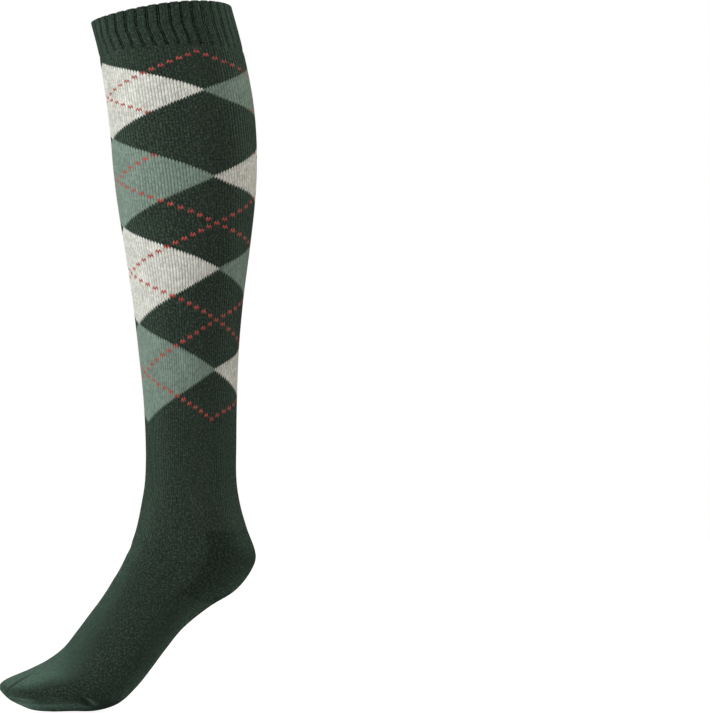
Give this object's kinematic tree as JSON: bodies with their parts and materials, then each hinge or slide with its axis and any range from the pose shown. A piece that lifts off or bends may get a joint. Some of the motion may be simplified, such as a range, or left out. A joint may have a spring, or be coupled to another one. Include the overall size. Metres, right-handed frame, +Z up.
{
  "type": "riding sock",
  "caption": "Knee-high knitted sock in its worn form: ribbed cuff, long shaped leg, turned heel pocket, plain foot and closed toe, open at the top.",
  "frame": {"origin": "centre of the sock's mouth, where a leg goes in and holds it up", "axes": "+Z up out of the mouth, +X towards the calf and the heel, so the toes point to -X, and -Y towards the outer side of the leg"},
  "size_m": [0.204, 0.11, 0.5543],
  "materials": {
    "cuff": "ribbed knit, dark green wool blend, matt",
    "leg": "fine plain knit, dark green with grey and white argyle diamonds and fine red dotted lines, matt",
    "heel": "plain knit, dark green, matt",
    "foot": "plain knit, dark green, matt",
    "toe": "plain knit with a low linking ridge, dark green, matt"
  },
  "bodies": {
    "root": {"cuff": "cuff", "leg": "leg", "heel": "heel", "foot": "foot", "toe": "toe"}
  },
  "joints": []
}
